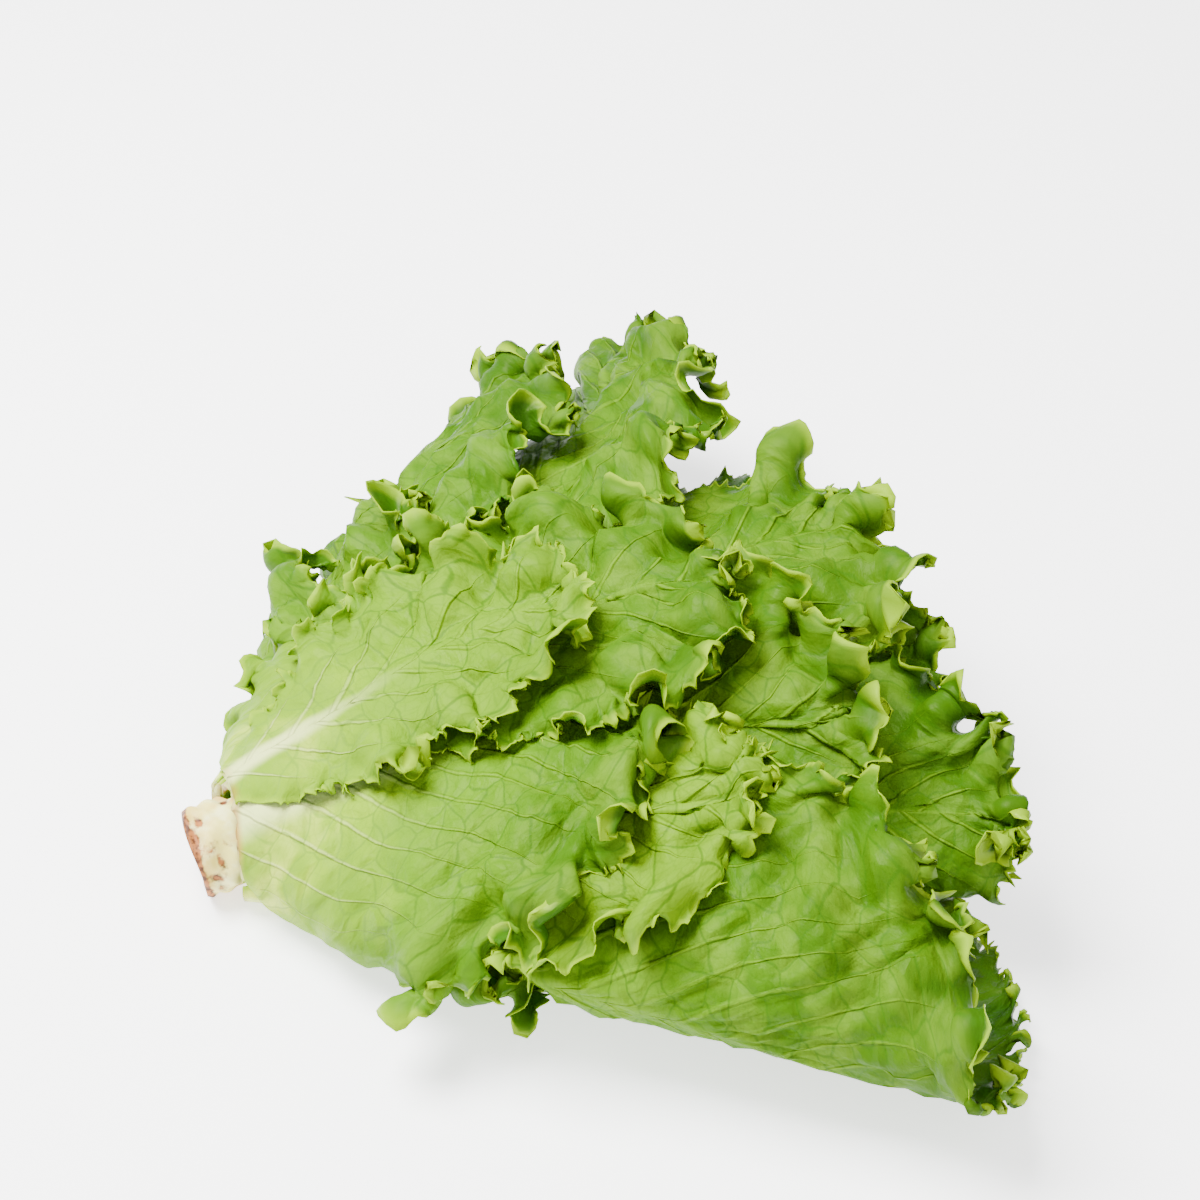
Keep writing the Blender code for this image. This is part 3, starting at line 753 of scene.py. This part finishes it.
def leaf_material(name, back):
    """Leaf tissue: pale at the base and ribs, deeper to the tips, with side veins and a net of small ones.

    The back is paler and matt, with raised veins. The upper side is glossier, with sunken ones.
    """
    nodes = Nodes(name)
    flat = nodes.add("Attribute", {"attribute_name": "flat"}).outputs["Vector"]
    place = nodes.add("Attribute", {"attribute_name": "place"}).outputs["Vector"]
    hem = nodes.add("Attribute", {"attribute_name": "hem"}).outputs["Vector"]
    vein, out, grown = nodes.add("SeparateXYZ", n0=place).outputs
    away, breadth, light = nodes.add("SeparateXYZ", n0=hem).outputs
    x, y, apart = nodes.add("SeparateXYZ", n0=flat).outputs
    sheet = nodes.add("CombineXYZ", X=nodes.math("ADD", x, apart), Y=y).outputs[0]
    here = nodes.add("TexCoord").outputs["Object"]
    warp = nodes.add("TexNoise", {"noise_dimensions": "2D"}, Vector=sheet, Scale=0.9, Detail=1.0)
    added = {"operation": "MULTIPLY_ADD"}
    warp = nodes.add("VectorMath", added, n0=warp.outputs["Color"], n1=(0.6, 0.6, 0.0), n2=sheet).outputs[0]
    cells = {"feature": "DISTANCE_TO_EDGE", "voronoi_dimensions": "2D"}
    coarse = nodes.add("TexVoronoi", cells, Vector=warp, Scale=0.95).outputs["Distance"]
    fine = nodes.add("TexVoronoi", cells, Vector=warp, Scale=3.0).outputs["Distance"]
    net = nodes.range(coarse, 0.012, 0.055, 1.0, 0.0)
    mesh_lines = nodes.range(fine, 0.02, 0.11, 1.0, 0.0)
    side = nodes.math("ABSOLUTE", nodes.math("SUBTRACT", nodes.math("FRACT", vein), 0.5))
    wide = nodes.range(out, 0.0, 0.85, 0.12, 0.02)
    side = nodes.range(nodes.math("DIVIDE", side, wide), 0.2, 1.0, 1.0, 0.0)
    side = nodes.math("MULTIPLY", side, nodes.range(out, 0.45, 0.85, 1.0, 0.0))
    rib_width = nodes.math("MULTIPLY", nodes.range(grown, 0.0, 0.9, 0.75, 0.06), breadth)
    rib = nodes.range(nodes.math("DIVIDE", nodes.math("ABSOLUTE", x), rib_width), 0.3, 1.2, 1.0, 0.0)
    patch = nodes.noise(sheet, 0.6, 2, flat=True)
    streak = nodes.noise(here, 40, 2)
    age = nodes.math("ADD", grown, nodes.math("MULTIPLY", nodes.math("SUBTRACT", patch, 0.5), 0.35))
    age = nodes.math("ADD", age, nodes.math("MULTIPLY", nodes.math("SUBTRACT", out, 0.4), 0.16))
    if back:
        stops = ((0.02, (0.64, 0.76, 0.09)), (0.13, (0.28, 0.47, 0.006)), (0.34, (0.112, 0.26, 0.001)),
                 (0.60, (0.054, 0.155, 0.001)), (0.95, (0.026, 0.088, 0.001)))
    else:
        stops = ((0.02, (0.52, 0.68, 0.06)), (0.12, (0.20, 0.40, 0.006)), (0.32, (0.070, 0.21, 0.001)),
                 (0.60, (0.036, 0.130, 0.001)), (0.95, (0.015, 0.062, 0.001)))
    colour = nodes.ramp(age, *stops)
    colour = nodes.mix(nodes.range(streak, 0.35, 0.7, 0.0, 0.3), colour, (0.15, 0.31, 0.003, 1))
    if back:
        colour = nodes.mix(nodes.range(patch, 0.42, 0.66, 0.0, 0.42), colour, (0.17, 0.32, 0.012, 1))
    # Each leaf's setting: above one half the blade is mixed yellower, partly its own tone and partly painted
    # light; below one half it is darkened towards deep green as painted shade
    colour = nodes.mix(nodes.range(light, 0.5, 1.0, 0.0, 0.55), colour, (0.20, 0.37, 0.003, 1))
    painted_shade = nodes.math("MULTIPLY", nodes.range(light, 0.0, 0.5, 0.65, 0.0), nodes.range(grown, 0.2, 0.6))
    colour = nodes.mix(painted_shade, colour, (0.45, 0.68, 1.0, 1), "MULTIPLY")
    pale = nodes.mix(nodes.range(grown, 0.05, 0.45), (0.80, 0.88, 0.34, 1), (0.18, 0.35, 0.008, 1))
    deep = nodes.mix(nodes.range(grown, 0.05, 0.5), (0.17, 0.32, 0.02, 1), (0.03, 0.11, 0.002, 1))
    colour = nodes.mix(nodes.math("MULTIPLY", side, 0.35 if back else 0.2), colour, pale)
    colour = nodes.mix(nodes.math("MULTIPLY", mesh_lines, 0.20), colour, deep)
    colour = nodes.mix(nodes.math("MULTIPLY", net, 0.6 if back else 0.4), colour, deep)
    colour = nodes.mix(nodes.math("MULTIPLY", rib, nodes.range(grown, 0.1, 0.5, 0.9, 0.2)), colour, pale)
    scar = nodes.math("MULTIPLY", nodes.range(y, 0.0, 0.30, 1.0, 0.0), nodes.range(streak, 0.35, 0.6))
    colour = nodes.mix(nodes.math("MULTIPLY", scar, 0.8), colour, (0.42, 0.17, 0.04, 1))
    edge = nodes.range(away, 0.0, 0.22, 1.0, 0.0)
    colour = nodes.mix(nodes.math("MULTIPLY", edge, 0.85), colour, (0.29, 0.47, 0.003, 1))
    shader = nodes.shader
    gloss = 0.48 if back else 0.36
    nodes.put(shader, "Base Color", colour)
    nodes.put(shader, "Roughness", nodes.range(patch, 0.3, 0.7, gloss - 0.06, gloss + 0.08))
    height = nodes.math("MULTIPLY", side, 1.6 if back else -0.8)
    dome = nodes.range(coarse, 0.0, 0.4, 0.0, 1.6)
    height = nodes.math("ADD", height, nodes.math("MULTIPLY", dome, 1.0 if back else 1.3))
    height = nodes.math("ADD", height, nodes.math("MULTIPLY", nodes.noise(sheet, 6.0, 2, flat=True), 0.6))
    bump = nodes.add("Bump", Strength=0.8, Distance=0.65 * MM, Height=height)
    nodes.put(shader, "Normal", bump.outputs[0])
    shader.inputs["Specular IOR Level"].default_value = 0.12 if back else 0.18
    shader.inputs["Specular Tint"].default_value = (0.95, 1.0, 0.45, 1)
    glow = nodes.mix(0.5, colour, (0.26, 0.54, 0.001, 1))
    through_leaf = nodes.add("BsdfTranslucent", Color=glow, Normal=bump.outputs[0])
    both = nodes.add("MixShader", n0=0.25, n1=shader.outputs[0], n2=through_leaf.outputs[0])
    nodes.tree.links.new(both.outputs[0], nodes.output.inputs["Surface"])
    return nodes.material


def fine_leaf(leaf, shell, cover, number, materials):
    """A leaf's piece: the smooth blade through the solid's points, frilled, thickened and with attributes.

    The attribute flat holds centimetres over the flat leaf, and the leaf's own place in the patterns. place
    holds the number of the side vein, how far out a point is, and how far it has grown from pale to deep.
    hem holds centimetres to the margin, the leaf's breadth, and how yellow the leaf is painted: its own tone
    with painted light and painted shade.
    """
    name, turn, own_shell, length, width, spoon, _, _, bend = leaf
    length, width = length * MM, width * MM
    run = flat_leaf(length, width, leaf_base(own_shell), spoon, SHARE, OUT)[4]
    columns = 8 * round(run / (4 * COLUMN_SPACING))
    share = np.linspace(-1, 1, columns + 1)[:, None]
    out = np.array([row for row, _ in FINE_ROWS])[None, :]
    x, y, x_edge, y_edge, run = flat_leaf(length, width, leaf_base(own_shell), spoon, share, out)
    free = smooth(*BLADE_FREE, y / length)
    reach = base_reach(own_shell) + y
    centre = math.radians(turn) + math.radians(bend) * (y / length) ** 2 + 0 * x
    round_ = go_round(reach, centre, own_shell, x)
    points = to_space(reach, round_, fine_shell(shell, share[:, 0], out[0]))
    at, toward, _ = from_space(points)
    openness = 1 - (1 - FRILL_PRESSED) * read_cover(cover, at, toward)
    away = np.hypot(x_edge - x, y_edge - y)
    draw = np.random.default_rng(100 + number)
    normal = grid_normals(points)
    vein = (y - SIDE_VEIN_SWEEP * abs(x)) / SIDE_VEIN_SPACING + 0.4 * (share > 0)
    vein = vein + 0.22 * puckers(x, y, VEIN_WANDER, draw)
    ridge = np.exp(-((vein % 1 - 0.5) / 0.09) ** 2) * smooth(0, 0.15, out) * (1 - smooth(0.45, 0.85, out))
    rib = np.exp(-(x / (1 * MM + 6 * MM * (1 - y / length))) ** 2)
    quilt = PUCKER * puckers(x, y, PUCKER_LENGTH, draw) * free * openness * (1 - rib)
    crumple = CRUMPLE * (0.4 + puckers(x, y, CRUMPLE_LENGTH, draw)) * free * openness ** 2
    quilt = quilt + crumple * smooth(0.15, 0.7, out) * smooth(0.25, 0.75, y / length)
    quilt = quilt + SIDE_VEIN_RISE * ridge * (1 - rib) * smooth(0.05, 0.2, y / length)
    points = hold_in(points + quilt[..., None] * normal, np.array([TIP_ROOM, TIP_ROOM, 0]))
    size = min(1, width / FRILL_WIDTH) * (0.88 + 0.2 * smooth(0.6, 1, y / length))
    size = size * (INNER_FRILL if own_shell < 0.75 else 1)
    openness = openness * (0.4 + 0.6 * smooth(0, FOOT_HEIGHT, points[..., 2] + SHIFT[2]))
    _, outward, _ = directions(points)
    points = frilled(points, share, away, run, size, smooth(*BASE_FREE, y / length), openness, draw)
    held = hold_in(points, np.zeros(3))
    level = outward[..., :2] / (np.linalg.norm(outward[..., :2], axis=-1, keepdims=True) + 0.1)
    held[..., :2] += FOOT_SPREAD * np.clip(held[..., 2:] - points[..., 2:], 0, FOOT_DEPTH) * level
    points = hold_in(held, np.zeros(3))
    edge = smooth(0, 6 * MM, away)
    thick = FINE_THICK[1] + (FINE_THICK[0] - FINE_THICK[1]) * edge
    thick = thick + MIDRIB_THICK * rib * (1 - 0.8 * (y / length))
    normal = grid_normals(points)
    normal[:, 0] += normal[::-1, 0]
    normal[:, 0] /= np.linalg.norm(normal[:, 0], axis=-1, keepdims=True)
    outer = points + normal * thick[..., None]
    index, triangles = leaf_triangles(columns)
    vertices, faces, where, outer_count = closed_leaf(points + SHIFT, outer + SHIFT, index, triangles)
    flat = np.stack((x * 100, y * 100, 0 * x + PATTERN_STEP * number), axis=-1)
    age = 0.45 * reach / LONGEST_REACH + 0.55 * y / length
    place = np.stack(np.broadcast_arrays(vein, out, age), axis=-1)
    # the third part of hem is the leaf's tone with its painted light and shade
    hem = np.stack((away * 100, 0 * x + width / 0.15, 0 * x + LEAF_TONE_AND_PAINTED_LIGHT.get(name, 0.5)), axis=-1)
    flat, place, hem = (np.tile(part[where[:, 0], where[:, 1]], (2, 1)) for part in (flat, place, hem))
    upper_side = (np.arange(len(faces)) >= outer_count) * 1
    attributes = {"flat": flat, "place": place, "hem": hem}
    piece = mesh_piece(name + "_blade", vertices, faces, attributes, materials, upper_side)
    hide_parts(name)


leaf_sides = [leaf_material("lettuce_leaf_back", True), leaf_material("lettuce_leaf_upper_side", False)]
packing_draw = np.random.default_rng(7)
heap = stump_footprint()
for leaf_number, (packed_leaf, packed_cover) in enumerate(zip(LEAVES, covers())):
    packed_shell = pack_leaf(heap, packed_cover, packed_leaf, packing_draw)
    fine_leaf(packed_leaf, packed_shell, packed_cover, leaf_number, leaf_sides)

# The table, the light and the camera
# A plain white table under a large soft light, seen from the photograph's side, 40 degrees above the table.
TABLE_SIDE = 60.0
CAMERA_TILT = math.radians(50)
CAMERA_AWAY = 0.96
LENS = 84.7
PIXEL = 0.34 * MM
CENTRE_FROM_STUMP = (385, 245)    # pixels of the photograph from the stump to the middle of the picture
CUT_FACE = (-8 * MM, -3 * MM, 0)  # from the foot of the head's axis to the middle of the stump's cut face
SKY_LIGHT = 0.72
TABLE_LIGHT = 1.7

table_mesh = bpy.data.meshes.new("table")
half = TABLE_SIDE / 2
corners = [(-half, -half, 0), (half, -half, 0), (half, half, 0), (-half, half, 0)]
table_mesh.from_pydata(corners, [], [(0, 1, 2, 3)])
table = bpy.data.objects.new("table", table_mesh)
bpy.context.scene.collection.objects.link(table)
table_nodes = Nodes("white_table")
grain = table_nodes.noise(table_nodes.add("TexCoord").outputs["Object"], 3.0, 2)
table_nodes.put(table_nodes.shader, "Base Color",
                table_nodes.ramp(grain, (0.3, (0.86, 0.86, 0.86)), (0.7, (0.88, 0.88, 0.88))))
table_nodes.shader.inputs["Roughness"].default_value = 0.7
table_nodes.shader.inputs["Emission Color"].default_value = (1, 1, 1, 1)
table_nodes.shader.inputs["Emission Strength"].default_value = TABLE_LIGHT
table_mesh.materials.append(table_nodes.material)

world = bpy.data.worlds.new("studio")
bpy.context.scene.world = world
world.use_nodes = True
world.node_tree.nodes["Background"].inputs["Color"].default_value = (1.0, 1.0, 1.0, 1)
world.node_tree.nodes["Background"].inputs["Strength"].default_value = SKY_LIGHT
for light_name, stand, size, power in (
    ("key_light", (-0.55, 0.1, 1.25), 0.8, 88),
    ("fill_light", (0.5, -0.9, 1.0), 1.4, 16),
):
    light = bpy.data.lights.new(light_name, "AREA")
    light.size = size
    light.energy = power
    lamp = bpy.data.objects.new(light_name, light)
    lamp.location = stand
    lamp.rotation_euler = (-Vector(stand)).to_track_quat("-Z", "Y").to_euler()
    bpy.context.scene.collection.objects.link(lamp)

camera = bpy.data.objects.new("camera", bpy.data.cameras.new("camera"))
camera.data.lens = LENS
picture_up = Vector((0, math.cos(CAMERA_TILT), math.sin(CAMERA_TILT)))
stump_foot = Vector(to_space(0.0, 0.0, 0.0) + SHIFT) + Vector(CUT_FACE)
target = stump_foot + PIXEL * (CENTRE_FROM_STUMP[0] * Vector((1, 0, 0)) + CENTRE_FROM_STUMP[1] * picture_up)
toward_camera = Vector((0, -math.sin(CAMERA_TILT), math.cos(CAMERA_TILT)))
camera.location = target + CAMERA_AWAY * toward_camera
camera.rotation_euler = (CAMERA_TILT, 0, 0)
bpy.context.scene.collection.objects.link(camera)
bpy.context.scene.camera = camera
